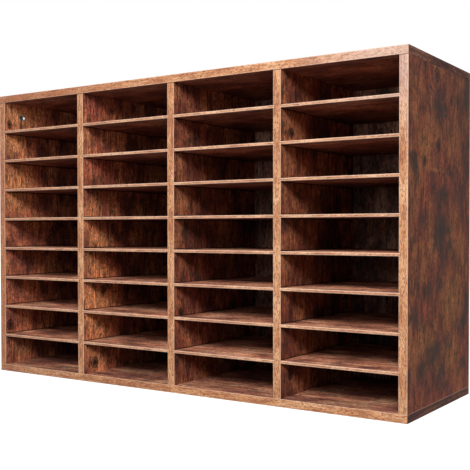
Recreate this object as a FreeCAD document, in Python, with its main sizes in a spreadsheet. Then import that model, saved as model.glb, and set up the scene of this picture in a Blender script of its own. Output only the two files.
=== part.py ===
import FreeCAD, Part
import os
import Sketcher

# Pigeonhole mail sorter: a free-standing case of boards with four columns of loose, housed shelves.
#
# Frame: +X to the right, +Y to the rear, +Z up, in millimetres. The origin is the middle of the underside.
# The top and bottom panels run over and under five upright boards (two side panels, three dividers). Every
# upright has routed housings that run through to its front edge, and the shelves slide into them from the
# front. The back boards stand in grooves a little way in from the rear edges. The dividers' ends stand in
# stopped housings in the top and bottom panels. Cam locks with their bolts hold the top panel down on the
# side panels, and countersunk screws hold the bottom panel up against them.

COLUMNS = 4
SHELVES_PER_COLUMN = 8
OUTPUT_FOLDER = "parts"

SIZES = (
    # alias, value in mm, what it is
    ("case_width", 998, "overall width"),
    ("case_depth", 305, "overall depth, edge bands included"),
    ("case_height", 625, "overall height"),
    ("upright_board", 16, "thickness of side panels and dividers"),
    ("deck_board", 15, "thickness of top and bottom panels"),
    ("band_thickness", 1, "thickness of the front edge bands"),
    ("band_arris", 0.5, "bevel of a band's long front edges"),
    ("shelf_board", 5.5, "thickness of a shelf"),
    ("shelf_arris", 0.8, "bevel of a shelf's front edges"),
    ("end_compartment", 63.75, "clear height of the top and of the bottom compartments"),
    ("housing_depth", 3, "how far a shelf is let into an upright"),
    ("housing_play", 0.5, "free height above a shelf in its housing"),
    ("shelf_end_play", 0.5, "free width at each end of a shelf"),
    ("shelf_rear_play", 0.8, "free depth between a shelf and the back board"),
    ("back_board", 3, "thickness of a back board"),
    ("back_inset", 11.5, "rear edge of the case to the back boards"),
    ("back_groove_depth", 4, "depth of the grooves that hold a back board"),
    ("back_groove_play", 0.4, "groove width beyond the back board's thickness"),
    ("back_edge_play", 0.5, "free space at a back board's side and top edges"),
    ("tongue_length", 5, "each end of a divider, let into the top or bottom panel"),
    ("tongue_setback", 22, "front edge of the case to a tongue"),
    ("tongue_play", 0.4, "width of a tongue's housing beyond the divider's thickness"),
    ("tongue_end_play", 0.5, "free depth above a divider's top tongue"),
    ("fastener_setback", 52, "front or rear edge of the case to cam and screw axes"),
    ("cam_from_end", 29, "cam axis to the upright's top end"),
    ("cam_diameter", 15, "cam lock housing"),
    ("cam_length", 12.3, "cam lock housing"),
    ("cam_recess", 0.2, "board face to the cam's face"),
    ("cam_bore_play", 0.2, "bore diameter beyond the cam's"),
    ("cam_driver_length", 7, "each arm of the cross slot, end to end"),
    ("cam_driver_width", 1.5, "each arm of the cross slot"),
    ("cam_driver_depth", 2, "cross slot"),
    ("cam_track_diameter", 10.4, "cavity in which the bolt's head is gripped"),
    ("cam_track_height", 7, "cavity and entry window, along the cam's axis"),
    ("cam_window_width", 7.2, "window by which the bolt's head enters"),
    ("cam_slot_width", 4.2, "slot round the bolt's neck"),
    ("bolt_thread_diameter", 5, "cam bolt, end in the top panel"),
    ("bolt_thread_length", 10.5, "cam bolt, end in the top panel"),
    ("bolt_shank_diameter", 5.8, "cam bolt"),
    ("bolt_neck_diameter", 3.6, "cam bolt, between shank and head"),
    ("bolt_neck_length", 5.5, "cam bolt, between shank and head"),
    ("bolt_head_diameter", 6.6, "cam bolt, inside the cam"),
    ("bolt_head_length", 2.7, "cam bolt, inside the cam"),
    ("bolt_head_reach", 3.9, "cam axis to the side of the head that is gripped"),
    ("bolt_bore_diameter", 8, "bore in the upright's end for the cam bolt"),
    ("fastener_play", 0.1, "bore diameter beyond a thread's or a shank's"),
    ("screw_head_diameter", 10, "connecting screw"),
    ("screw_shank_diameter", 5, "connecting screw"),
    ("screw_length", 50, "connecting screw, head included"),
    ("screw_sink", 0.4, "head of the connecting screw below the bottom face"),
    ("screw_end_play", 2, "free length of bore beyond a screw's end"),
    ("screw_socket_width", 4, "hexagon socket across the flats"),
    ("screw_socket_depth", 2.5, "hexagon socket"),
)


def size(alias):
    """The expression that reads one driving size from the sheet."""
    return f"Sizes.{alias}"


# Expressions for sizes that follow from the driving ones.
INNER_HEIGHT = f"({size('case_height')} - 2 * {size('deck_board')})"
BOARD_DEPTH = f"({size('case_depth')} - {size('band_thickness')})"
UPRIGHT_SPAN = f"({size('case_width')} - {size('upright_board')})"
UPRIGHT_PITCH = f"({UPRIGHT_SPAN} / {COLUMNS})"
COLUMN_CLEAR = f"({UPRIGHT_PITCH} - {size('upright_board')})"
HALF_UPRIGHT = f"({size('upright_board')} / 2)"
HOUSING_HEIGHT = f"({size('shelf_board')} + {size('housing_play')})"
GRID_HEIGHT = f"({INNER_HEIGHT} - {size('shelf_board')} - 2 * {size('end_compartment')})"
SHELF_PITCH = f"({GRID_HEIGHT} / {SHELVES_PER_COLUMN - 1})"
BACK_GROOVE_WIDTH = f"({size('back_board')} + {size('back_groove_play')})"
BACK_MIDDLE = f"({size('case_depth')} / 2 - {size('back_inset')} - {size('back_board')} / 2)"
BAND_SHIFT = f"({size('band_thickness')} / 2)"
FASTENER_SPACING = f"({size('case_depth')} - 2 * {size('fastener_setback')})"
TONGUE_DEPTH = f"({size('case_depth')} - {size('tongue_setback')})"
CAM_BORE = f"({size('cam_diameter')} + {size('cam_bore_play')})"
CAM_BORE_DEPTH = f"({size('cam_length')} + {size('cam_recess')})"
CAM_FACE = f"({HALF_UPRIGHT} - {size('cam_recess')})"
BOLT_SOCKET = f"({size('bolt_thread_diameter')} + {size('fastener_play')})"
SCREW_HOLE = f"({size('screw_shank_diameter')} + {size('fastener_play')})"
SCREW_IN_UPRIGHT = f"({size('screw_sink')} + {size('screw_length')} - {size('deck_board')})"
BAND_MIDDLE = f"(({size('band_thickness')} - {size('case_depth')}) / 2)"
SHELF_REAR = f"({BACK_MIDDLE} - {size('back_board')} / 2 - {size('shelf_rear_play')})"

# The uprights from left to right: label, and the faces that have housings (1 is +X, -1 is -X).
UPRIGHTS = (
    ("left_side_panel", (1,)),
    ("divider_1", (-1, 1)),
    ("divider_2", (-1, 1)),
    ("divider_3", (-1, 1)),
    ("right_side_panel", (-1,)),
)
ON_FACE = 0.01  # how near an edge lies to a plane to be taken as on it

doc = FreeCAD.newDocument("MailSorter")


def fill_sheet():
    """Write every driving size into the sheet, one row each."""
    sheet = doc.addObject("Spreadsheet::Sheet", "Sizes")
    for row, (alias, value, meaning) in enumerate(SIZES, start=1):
        sheet.set(f"A{row}", meaning)
        sheet.set(f"B{row}", str(value))
        sheet.setAlias(f"B{row}", alias)
    doc.recompute()


def new_body(label, place=None):
    """A body with its own label, placed by expressions for any of x, y and z."""
    body = doc.addObject("PartDesign::Body", label)
    body.Label = label
    for axis, expression in (place or {}).items():
        body.setExpression(f"Placement.Base.{axis}", expression)
    return body


def new_sketch(body, name, plane, x="0", y="0", height="0"):
    """A sketch on one of the body's origin planes, its own origin moved to x, y and off the plane."""
    support = next(item for item in body.Origin.OriginFeatures if item.Role == plane)
    sketch = body.newObject("Sketcher::SketchObject", f"{body.Name}_{name}")
    sketch.AttachmentSupport = (support, [""])
    sketch.MapMode = "FlatFace"
    sketch.setExpression("AttachmentOffset.Base.x", x)
    sketch.setExpression("AttachmentOffset.Base.y", y)
    sketch.setExpression("AttachmentOffset.Base.z", height)
    return sketch


def bind(sketch, kind, references, name, expression):
    """Add one dimension to a sketch and tie it to an expression."""
    index = sketch.addConstraint(Sketcher.Constraint(kind, *references, 1.0))
    sketch.renameConstraint(index, name)
    sketch.setExpression(f"Constraints.{name}", expression)


def closed_loop(sketch, points):
    """Straight lines through the points and back to the first; returns the number of the first line."""
    first = sketch.GeometryCount
    corners = [FreeCAD.Vector(x, y, 0) for x, y in points]
    for start, end in zip(corners, corners[1:] + corners[:1]):
        sketch.addGeometry(Part.LineSegment(start, end))
    count = len(points)
    for step in range(count):
        following = first + (step + 1) % count
        sketch.addConstraint(Sketcher.Constraint("Coincident", first + step, 2, following, 1))
    return first


def draw_rectangle(sketch, width, height):
    """A rectangle about the sketch's own origin."""
    first = closed_loop(sketch, ((-5, -5), (5, -5), (5, 5), (-5, 5)))
    for line in (first, first + 2):
        sketch.addConstraint(Sketcher.Constraint("Horizontal", line))
    for line in (first + 1, first + 3):
        sketch.addConstraint(Sketcher.Constraint("Vertical", line))
    sketch.addConstraint(Sketcher.Constraint("Symmetric", first, 1, first + 2, 1, -1, 1))
    bind(sketch, "DistanceX", (first, 1, first, 2), "width", width)
    bind(sketch, "DistanceY", (first + 1, 1, first + 1, 2), "height", height)


def draw_circle(sketch, diameter):
    """A circle about the sketch's own origin."""
    circle = sketch.addGeometry(Part.Circle(FreeCAD.Vector(0, 0, 0), FreeCAD.Vector(0, 0, 1), 2))
    sketch.addConstraint(Sketcher.Constraint("Coincident", circle, 3, -1, 1))
    bind(sketch, "Diameter", (circle,), "diameter", diameter)


def draw_circle_pair(sketch, diameter, spacing, along_x):
    """Two equal circles, spaced evenly about the sketch's origin along its X or its Y axis."""
    start = FreeCAD.Vector(-9, 0, 0) if along_x else FreeCAD.Vector(0, -9, 0)
    near = sketch.addGeometry(Part.Circle(start, FreeCAD.Vector(0, 0, 1), 2))
    far = sketch.addGeometry(Part.Circle(-start, FreeCAD.Vector(0, 0, 1), 2))
    sketch.addConstraint(Sketcher.Constraint("Equal", near, far))
    sketch.addConstraint(Sketcher.Constraint("Symmetric", near, 3, far, 3, -1, 1))
    sketch.addConstraint(Sketcher.Constraint("PointOnObject", near, 3, -1 if along_x else -2))
    bind(sketch, "Diameter", (near,), "diameter", diameter)
    bind(sketch, "DistanceX" if along_x else "DistanceY", (near, 3, far, 3), "spacing", spacing)


def add_pad(body, sketch, length):
    """Pad a sketch by the same amount to both sides of its plane."""
    pad = body.newObject("PartDesign::Pad", f"{sketch.Name}_pad")
    pad.Profile = sketch
    pad.SideType = "Symmetric"
    pad.setExpression("Length", length)
    sketch.Visibility = False
    return pad


def add_pocket(body, sketch, depth, along_normal=False):
    """Cut a sketch into the body, against its normal or along it."""
    pocket = body.newObject("PartDesign::Pocket", f"{sketch.Name}_pocket")
    pocket.Profile = sketch
    pocket.Reversed = along_normal
    pocket.setExpression("Length", depth)
    return pocket


def add_row(body, features, sketch, axis, count, pitch):
    """Repeat features in a straight row along one axis of a sketch."""
    row = body.newObject("PartDesign::LinearPattern", f"{features[0].Name}_row")
    row.Originals = features
    row.Direction = (sketch, [axis])
    row.Mode = "Spacing"
    row.Occurrences = count
    row.setExpression("Offset", pitch)
    body.Tip = row


def bevel_front_edges(body, pad, bevel):
    """Bevel the two long edges of a slab's front face."""
    doc.recompute()
    front = pad.Shape.BoundBox.YMin + ON_FACE
    edges = [(edge.Length, f"Edge{number}") for number, edge in enumerate(pad.Shape.Edges, start=1)
             if edge.BoundBox.YMax < front]
    chamfer = body.newObject("PartDesign::Chamfer", f"{pad.Name}_arris")
    chamfer.Base = (pad, [name for length, name in sorted(edges)[-2:]])
    chamfer.setExpression("Size", bevel)


def upright_station(number):
    """X of an upright's middle plane, counted from the left side panel."""
    return f"({number - COLUMNS / 2} * {UPRIGHT_PITCH})"


def column_station(column):
    """X of a column's middle plane, column 1 being the leftmost."""
    return f"({column - (COLUMNS + 1) / 2} * {UPRIGHT_PITCH})"


def cut_housings(body, face):
    """Cut an upright's row of shelf housings, and its back board groove, into its +X (1) or -X (-1) face."""
    side = "right" if face > 0 else "left"
    face_height = f"{face} * {HALF_UPRIGHT}"
    lowest = f"({size('housing_play')} - {GRID_HEIGHT}) / 2"
    housing = new_sketch(body, f"housing_{side}", "YZ_Plane", y=lowest, height=face_height)
    draw_rectangle(housing, BOARD_DEPTH, HOUSING_HEIGHT)
    pocket = add_pocket(body, housing, size("housing_depth"), along_normal=face < 0)
    add_row(body, [pocket], housing, "V_Axis", SHELVES_PER_COLUMN, SHELF_PITCH)
    groove = new_sketch(body, f"back_groove_{side}", "YZ_Plane", x=f"{BACK_MIDDLE} - {BAND_SHIFT}",
                        height=face_height)
    draw_rectangle(groove, BACK_GROOVE_WIDTH, f"{INNER_HEIGHT} + 2 * {size('back_groove_depth')}")
    add_pocket(body, groove, size("back_groove_depth"), along_normal=face < 0)


def add_tongues(body):
    """Lengthen a divider at both ends by its tongues, which stop short of the front edge."""
    tongues = new_sketch(body, "tongues", "YZ_Plane", x=f"{size('tongue_setback')} / 2 - {BAND_SHIFT}")
    draw_rectangle(tongues, TONGUE_DEPTH, f"{INNER_HEIGHT} + 2 * {size('tongue_length')}")
    add_pad(body, tongues, size("upright_board"))


def bore_side_panel(body, face):
    """Bore a side panel for its cam locks, which open on its inner face, their bolts and its screws."""
    cams = new_sketch(body, "cam_bores", "YZ_Plane", x=f"-{BAND_SHIFT}",
                      y=f"{INNER_HEIGHT} / 2 - {size('cam_from_end')}", height=f"{face} * {HALF_UPRIGHT}")
    draw_circle_pair(cams, CAM_BORE, FASTENER_SPACING, along_x=True)
    add_pocket(body, cams, CAM_BORE_DEPTH, along_normal=face < 0)
    bolts = new_sketch(body, "bolt_bores", "XY_Plane", y=f"-{BAND_SHIFT}", height=f"{INNER_HEIGHT} / 2")
    draw_circle_pair(bolts, size("bolt_bore_diameter"), FASTENER_SPACING, along_x=False)
    add_pocket(body, bolts, size("cam_from_end"))
    screws = new_sketch(body, "screw_bores", "XY_Plane", y=f"-{BAND_SHIFT}", height=f"-{INNER_HEIGHT} / 2")
    draw_circle_pair(screws, SCREW_HOLE, FASTENER_SPACING, along_x=False)
    add_pocket(body, screws, f"{SCREW_IN_UPRIGHT} + {size('screw_end_play')}", along_normal=True)


def build_upright(number, label, housed_faces):
    """A side panel, housed in its inner face, or a divider, housed in both and tongued at both ends."""
    place = {"x": upright_station(number), "y": BAND_SHIFT, "z": f"{size('case_height')} / 2"}
    body = new_body(label, place)
    outline = new_sketch(body, "outline", "YZ_Plane")
    draw_rectangle(outline, BOARD_DEPTH, INNER_HEIGHT)
    add_pad(body, outline, size("upright_board"))
    is_divider = len(housed_faces) > 1
    if is_divider:
        add_tongues(body)
    for face in housed_faces:
        cut_housings(body, face)
    if not is_divider:
        bore_side_panel(body, housed_faces[0])
    return body


def build_deck(label, middle, inner, tongue_room):
    """The top or bottom panel, its inner side, up (1) or down (-1), cut for back boards and tongues."""
    body = new_body(label, {"y": BAND_SHIFT, "z": middle})
    outline = new_sketch(body, "outline", "XY_Plane")
    draw_rectangle(outline, size("case_width"), BOARD_DEPTH)
    add_pad(body, outline, size("deck_board"))
    inner_face = f"{inner} * {size('deck_board')} / 2"
    groove = new_sketch(body, "back_groove", "XY_Plane", y=f"{BACK_MIDDLE} - {BAND_SHIFT}", height=inner_face)
    groove_length = f"{UPRIGHT_SPAN} - {size('upright_board')} + 2 * {size('back_groove_depth')}"
    draw_rectangle(groove, groove_length, BACK_GROOVE_WIDTH)
    add_pocket(body, groove, size("back_groove_depth"), along_normal=inner < 0)
    housing = new_sketch(body, "tongue_housing", "XY_Plane", x=upright_station(1),
                         y=f"({size('tongue_setback')} - {size('tongue_play')}) / 2 - {BAND_SHIFT}",
                         height=inner_face)
    draw_rectangle(housing, f"{size('upright_board')} + {size('tongue_play')}",
                   f"{TONGUE_DEPTH} + {size('tongue_play')}")
    first_housing = add_pocket(body, housing, tongue_room, along_normal=inner < 0)
    add_row(body, [first_housing], housing, "H_Axis", COLUMNS - 1, UPRIGHT_PITCH)
    return body


def build_top_panel(middle):
    """The top panel, with the sockets that the cam bolts are screwed into."""
    room = f"{size('tongue_length')} + {size('tongue_end_play')}"
    body = build_deck("top_panel", middle, inner=-1, tongue_room=room)
    sockets = new_sketch(body, "bolt_sockets", "XY_Plane", x=upright_station(0), y=f"-{BAND_SHIFT}",
                         height=f"-{size('deck_board')} / 2")
    draw_circle_pair(sockets, BOLT_SOCKET, FASTENER_SPACING, along_x=False)
    left_sockets = add_pocket(body, sockets, size("bolt_thread_length"), along_normal=True)
    add_row(body, [left_sockets], sockets, "H_Axis", 2, UPRIGHT_SPAN)
    return body


def build_bottom_panel(middle):
    """The bottom panel, with a front and a rear countersunk hole under each side panel."""
    body = build_deck("bottom_panel", middle, inner=1, tongue_room=size("tongue_length"))
    holes = new_sketch(body, "screw_holes", "XY_Plane", x=upright_station(0), y=f"-{BAND_SHIFT}",
                       height=f"-{size('deck_board')} / 2")
    draw_circle_pair(holes, SCREW_HOLE, FASTENER_SPACING, along_x=False)
    left_holes = add_countersunk_holes(body, holes)
    add_row(body, [left_holes], holes, "H_Axis", 2, UPRIGHT_SPAN)
    return body


def add_countersunk_holes(body, sketch):
    """Through holes at a sketch's circles, countersunk on the sketch's side for the connecting screws."""
    doc.recompute()
    hole = body.newObject("PartDesign::Hole", f"{sketch.Name}_hole")
    hole.Profile = sketch
    hole.Reversed = True
    hole.DepthType = "ThroughAll"
    hole.HoleCutType = "Countersink"
    hole.HoleCutCustomValues = True
    hole.HoleCutCountersinkAngle = 90
    hole.setExpression("Diameter", SCREW_HOLE)
    hole.setExpression("HoleCutDiameter", f"{size('screw_head_diameter')} + 2 * {size('screw_sink')}"
                                          f" + {size('fastener_play')}")
    return hole


def build_upright_band(number, label, housed_faces):
    """The front edge band of an upright, notched where the housings run through it."""
    place = {"x": upright_station(number), "y": BAND_MIDDLE, "z": f"{size('case_height')} / 2"}
    body = new_body(label, place)
    outline = new_sketch(body, "outline", "XZ_Plane")
    draw_rectangle(outline, size("upright_board"), INNER_HEIGHT)
    strip = add_pad(body, outline, size("band_thickness"))
    bevel_front_edges(body, strip, size("band_arris"))
    for face in housed_faces:
        middle = f"{face} * ({HALF_UPRIGHT} - {size('housing_depth')} / 2)"
        lowest = f"({size('housing_play')} - {GRID_HEIGHT}) / 2"
        side = "right" if face > 0 else "left"
        notch = new_sketch(body, f"notch_{side}", "XZ_Plane", x=middle, y=lowest)
        draw_rectangle(notch, size("housing_depth"), HOUSING_HEIGHT)
        pocket = add_pocket(body, notch, size("band_thickness"))
        pocket.SideType = "Symmetric"
        add_row(body, [pocket], notch, "V_Axis", SHELVES_PER_COLUMN, SHELF_PITCH)
    return body


def build_deck_band(label, middle):
    """The front edge band of the top or bottom panel."""
    body = new_body(label, {"y": BAND_MIDDLE, "z": middle})
    outline = new_sketch(body, "outline", "XZ_Plane")
    draw_rectangle(outline, size("case_width"), size("deck_board"))
    strip = add_pad(body, outline, size("band_thickness"))
    bevel_front_edges(body, strip, size("band_arris"))
    return body


def build_shelf(column, row):
    """One loose shelf, resting in its two housings; rows count from the top."""
    steps_up = (SHELVES_PER_COLUMN + 1) / 2 - row
    place = {
        "x": column_station(column),
        "y": f"({SHELF_REAR} - {size('case_depth')} / 2) / 2",
        "z": f"{size('case_height')} / 2 + {steps_up} * {SHELF_PITCH}",
    }
    body = new_body(f"shelf_col{column}_row{row}", place)
    outline = new_sketch(body, "outline", "XY_Plane")
    width = f"{COLUMN_CLEAR} + 2 * ({size('housing_depth')} - {size('shelf_end_play')})"
    draw_rectangle(outline, width, f"{SHELF_REAR} + {size('case_depth')} / 2")
    slab = add_pad(body, outline, size("shelf_board"))
    bevel_front_edges(body, slab, size("shelf_arris"))
    return body


def build_back_board(column):
    """One column's back board, standing on the floor of its groove in the bottom panel."""
    play = size("back_edge_play")
    place = {"x": column_station(column), "y": BACK_MIDDLE, "z": f"({size('case_height')} - {play}) / 2"}
    body = new_body(f"back_board_{column}", place)
    outline = new_sketch(body, "outline", "XZ_Plane")
    width = f"{COLUMN_CLEAR} + 2 * ({size('back_groove_depth')} - {play})"
    draw_rectangle(outline, width, f"{INNER_HEIGHT} + 2 * {size('back_groove_depth')} - {play}")
    add_pad(body, outline, size("back_board"))
    return body


def build_turned(label, corners):
    """A round pin turned about Z, standing on its origin; each corner is a diameter and a height."""
    body = new_body(label)
    profile = new_sketch(body, "profile", "XZ_Plane")
    rough = [(3, step) for step in range(len(corners))]
    closed_loop(profile, [(0, 0), *rough, (0, len(corners) - 1)])
    profile.addConstraint(Sketcher.Constraint("Coincident", 0, 1, -1, 1))
    profile.addConstraint(Sketcher.Constraint("Horizontal", 0))
    for number, (diameter, height) in enumerate(corners, start=1):
        bind(profile, "DistanceX", (-1, 1, number, 1), f"radius_{number}", f"{diameter} / 2")
        if number > 1:
            bind(profile, "DistanceY", (-1, 1, number, 1), f"height_{number}", height)
    profile.addConstraint(Sketcher.Constraint("Horizontal", len(corners)))
    profile.addConstraint(Sketcher.Constraint("Vertical", len(corners) + 1))
    turned = body.newObject("PartDesign::Revolution", f"{label}_turned")
    turned.Profile = profile
    turned.ReferenceAxis = (profile, ["V_Axis"])
    turned.Angle = 360
    return body


def build_cam_bolt():
    """A cam bolt, from the head that the cam grips up to the end that sits in the top panel."""
    neck_length = size("bolt_neck_length")
    steps = (
        ("bolt_head_diameter", size("bolt_head_length")),
        ("bolt_neck_diameter", neck_length),
        ("bolt_shank_diameter", f"({size('cam_from_end')} - {size('bolt_head_reach')} - {neck_length})"),
        ("bolt_thread_diameter", size("bolt_thread_length")),
    )
    corners = []
    foot = "0"
    for alias, length in steps:
        top = f"{foot} + {length}"
        corners += [(size(alias), foot), (size(alias), top)]
        foot = top
    return build_turned("cam_bolt", corners)


def build_screw():
    """A countersunk connecting screw, head down, with its hexagon socket."""
    head = size("screw_head_diameter")
    shank = size("screw_shank_diameter")
    body = build_turned("screw", [
        (head, "0"),
        (shank, f"({head} - {shank}) / 2"),
        (shank, size("screw_length")),
    ])
    socket = new_sketch(body, "socket", "XY_Plane")
    draw_hexagon(socket, size("screw_socket_width"))
    add_pocket(body, socket, size("screw_socket_depth"), along_normal=True)
    return body


def draw_hexagon(sketch, across_flats):
    """A regular hexagon about the sketch's own origin, two of its sides parallel to the X axis."""
    corners = [FreeCAD.Rotation(60 * turn, 0, 0).multVec(FreeCAD.Vector(3, 0, 0)) for turn in range(6)]
    first = closed_loop(sketch, [(corner.x, corner.y) for corner in corners])
    for line in range(1, 6):
        sketch.addConstraint(Sketcher.Constraint("Equal", first, first + line))
    sketch.addConstraint(Sketcher.Constraint("Symmetric", first, 1, first + 3, 1, -1, 1))
    sketch.addConstraint(Sketcher.Constraint("PointOnObject", first, 1, -1))
    sketch.addConstraint(Sketcher.Constraint("Horizontal", first + 1))
    bind(sketch, "DistanceY", (first + 4, 1, first + 1, 1), "across_flats", across_flats)


def cut_cam_cavity(body, sketch, depth):
    """Cut a cam lock's inside by the same depth to both sides of the bolt's axis."""
    pocket = add_pocket(body, sketch, depth)
    pocket.SideType = "Symmetric"


def build_cam_lock():
    """A cam lock about X, its own origin where its axis meets the bolt's, its face towards +X."""
    body = new_body("cam_lock")
    housing = new_sketch(body, "housing", "YZ_Plane", height=f"{CAM_FACE} - {size('cam_length')} / 2")
    draw_circle(housing, size("cam_diameter"))
    add_pad(body, housing, size("cam_length"))
    arm = (size("cam_driver_length"), size("cam_driver_width"))
    for name, (width, height) in {"driver_across": arm, "driver_upright": arm[::-1]}.items():
        slot = new_sketch(body, name, "YZ_Plane", height=CAM_FACE)
        draw_rectangle(slot, width, height)
        add_pocket(body, slot, size("cam_driver_depth"))
    radius = f"({size('cam_diameter')} / 2)"
    neck_slot_width = size("cam_slot_width")
    track = new_sketch(body, "track", "YZ_Plane")
    draw_circle(track, size("cam_track_diameter"))
    cut_cam_cavity(body, track, size("cam_track_height"))
    window = new_sketch(body, "window", "YZ_Plane", x=f"-{radius} / 2")
    draw_rectangle(window, radius, size("cam_window_width"))
    cut_cam_cavity(body, window, size("cam_track_height"))
    neck_slot = new_sketch(body, "neck_slot", "YZ_Plane", y=f"{radius} / 2")
    draw_rectangle(neck_slot, neck_slot_width, radius)
    cut_cam_cavity(body, neck_slot, neck_slot_width)
    path = new_sketch(body, "neck_path", "XZ_Plane", y=f"{radius} * 3 / 4")
    draw_rectangle(path, neck_slot_width, f"{radius} / 2")
    turn = body.newObject("PartDesign::Groove", "cam_lock_neck_turn")
    turn.Profile = path
    axis = next(item for item in body.Origin.OriginFeatures if item.Role == "X_Axis")
    turn.ReferenceAxis = (axis, [""])
    turn.Angle = 90
    return body


def gather_copies(label, master, places):
    """Copies of a fastener as one group; a place is its x, y and z, and its turn about Z in degrees."""
    copies = []
    for number, (x, y, z, turn) in enumerate(places, start=1):
        copy = doc.addObject("App::Link", f"{label}_{number}")
        copy.LinkedObject = master
        copy.Placement = FreeCAD.Placement(FreeCAD.Vector(), FreeCAD.Rotation(turn, 0, 0))
        for axis, expression in zip("xyz", (x, y, z)):
            copy.setExpression(f"Placement.Base.{axis}", expression)
        copies.append(copy)
    group = doc.addObject("Part::Compound", label)
    group.Label = label
    group.Links = copies
    return group


def side_panel_places(z, right_turn=0):
    """A front and a rear place at each side panel; right_turn turns the copies at the right one about Z."""
    places = []
    for station, turn in ((upright_station(0), 0), (upright_station(COLUMNS), right_turn)):
        for sign in (-1, 1):
            places.append((station, f"{sign} * {FASTENER_SPACING} / 2", z, turn))
    return places


def build_fasteners():
    """Every group of identical fasteners, each made once and copied to its places."""
    cam_axis = f"{size('case_height')} - {size('deck_board')} - {size('cam_from_end')}"
    bolt_foot = f"{cam_axis} + {size('bolt_head_reach')} - {size('bolt_head_length')}"
    return [
        gather_copies("cam_locks", build_cam_lock(), side_panel_places(cam_axis, right_turn=180)),
        gather_copies("cam_bolts", build_cam_bolt(), side_panel_places(bolt_foot)),
        gather_copies("base_screws", build_screw(), side_panel_places(size("screw_sink"))),
    ]


def build_sorter():
    """Build every sub-part of the sorter."""
    top_middle = f"{size('case_height')} - {size('deck_board')} / 2"
    base_middle = f"{size('deck_board')} / 2"
    nodes = [
        build_top_panel(top_middle),
        build_bottom_panel(base_middle),
        build_deck_band("top_panel_edge_band", top_middle),
        build_deck_band("bottom_panel_edge_band", base_middle),
    ]
    for number, (label, housed_faces) in enumerate(UPRIGHTS):
        nodes.append(build_upright(number, label, housed_faces))
        nodes.append(build_upright_band(number, f"{label}_edge_band", housed_faces))
    for column in range(1, COLUMNS + 1):
        nodes.append(build_back_board(column))
        nodes += [build_shelf(column, row) for row in range(1, SHELVES_PER_COLUMN + 1)]
    return nodes + build_fasteners()


def check_model(nodes):
    """Stop if a feature failed, a cut removed nothing, or a sub-part's shape can't be used."""
    for item in doc.Objects:
        if "Invalid" in item.State or "Error" in item.State:
            raise RuntimeError(f"{item.Name} failed: {item.State}")
        if item.TypeId in ("PartDesign::Pocket", "PartDesign::Groove", "PartDesign::Hole"):
            if item.Shape.Volume >= item.BaseFeature.Shape.Volume:
                raise RuntimeError(f"{item.Name} cuts nothing")
    for node in nodes:
        if node.Shape.isNull() or not node.Shape.isValid():
            raise RuntimeError(f"{node.Label} has no valid shape")


def export_nodes(nodes):
    """Write each sub-part's shape to a file that carries its name."""
    os.makedirs(OUTPUT_FOLDER, exist_ok=True)
    for node in nodes:
        node.Shape.exportStep(os.path.join(OUTPUT_FOLDER, f"{node.Label}.step"))


fill_sheet()
sorter_nodes = build_sorter()
doc.recompute()
check_model(sorter_nodes)
export_nodes(sorter_nodes)
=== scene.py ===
"""The looks of a pigeonhole mail sorter: printed boards, banded edges, loose shelves and their fittings.

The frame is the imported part's own: +X to the right, +Y to the rear, +Z up, in metres. Sizes of prints, bands
and fittings are in millimetres, because that is how their makers give them, and MM turns them to metres.
"""

import logging
import math
from collections.abc import Callable
from dataclasses import dataclass, replace
from enum import Enum
from typing import Any, ClassVar

import bmesh
import bpy
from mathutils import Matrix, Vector


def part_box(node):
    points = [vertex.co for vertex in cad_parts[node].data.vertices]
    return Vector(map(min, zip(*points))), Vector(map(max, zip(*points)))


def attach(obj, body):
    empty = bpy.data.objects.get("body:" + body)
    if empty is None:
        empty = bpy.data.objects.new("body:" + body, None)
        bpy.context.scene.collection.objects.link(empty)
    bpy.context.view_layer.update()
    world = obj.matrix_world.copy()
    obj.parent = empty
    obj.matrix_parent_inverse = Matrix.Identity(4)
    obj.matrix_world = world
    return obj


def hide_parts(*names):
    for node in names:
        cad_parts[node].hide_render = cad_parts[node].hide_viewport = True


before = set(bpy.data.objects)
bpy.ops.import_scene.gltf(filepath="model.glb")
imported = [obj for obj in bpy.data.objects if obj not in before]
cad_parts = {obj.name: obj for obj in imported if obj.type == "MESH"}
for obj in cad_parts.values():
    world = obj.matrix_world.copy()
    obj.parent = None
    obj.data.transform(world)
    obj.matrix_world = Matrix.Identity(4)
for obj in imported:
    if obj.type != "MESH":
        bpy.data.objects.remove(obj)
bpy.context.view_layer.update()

log = logging.getLogger("mail_sorter")

MM = 0.001
WHITE = (1.0, 1.0, 1.0, 1.0)
WAVE_PERIOD = math.pi / 10
GRAIN_WANDER = 90.0
THROUGH_SCALE = 0.7
END_SLOPE = 0.7
FACING = 0.9
MARK_DEPTH = 3.0
TOLERANCE = 0.05
SMOOTH_ANGLE = math.radians(35.0)
CASE = "case"

Colour = tuple[float, float, float, float]
Triple = tuple[float, float, float]
Size = tuple[float, float]
Tree = bpy.types.NodeTree
Socket = bpy.types.NodeSocket
Material = bpy.types.Material
Piece = bpy.types.Object


class Axis(Enum):
    """The three directions of the case."""

    WIDTH = (1.0, 0.0, 0.0)
    DEPTH = (0.0, 1.0, 0.0)
    HEIGHT = (0.0, 0.0, 1.0)


def span(node: str) -> tuple[Vector, Vector]:
    """Gives a node's box.

    Args:
        node: the node's name.

    Returns:
        Its lowest and its highest corner, in mm.
    """
    low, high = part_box(node)
    return Vector(low) / MM, Vector(high) / MM


def nodes_named(start: str = "", end: str = "") -> list[str]:
    """Lists nodes by how their names start and end."""
    return [name for name in sorted(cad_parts) if name.startswith(start) and name.endswith(end)]


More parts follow.
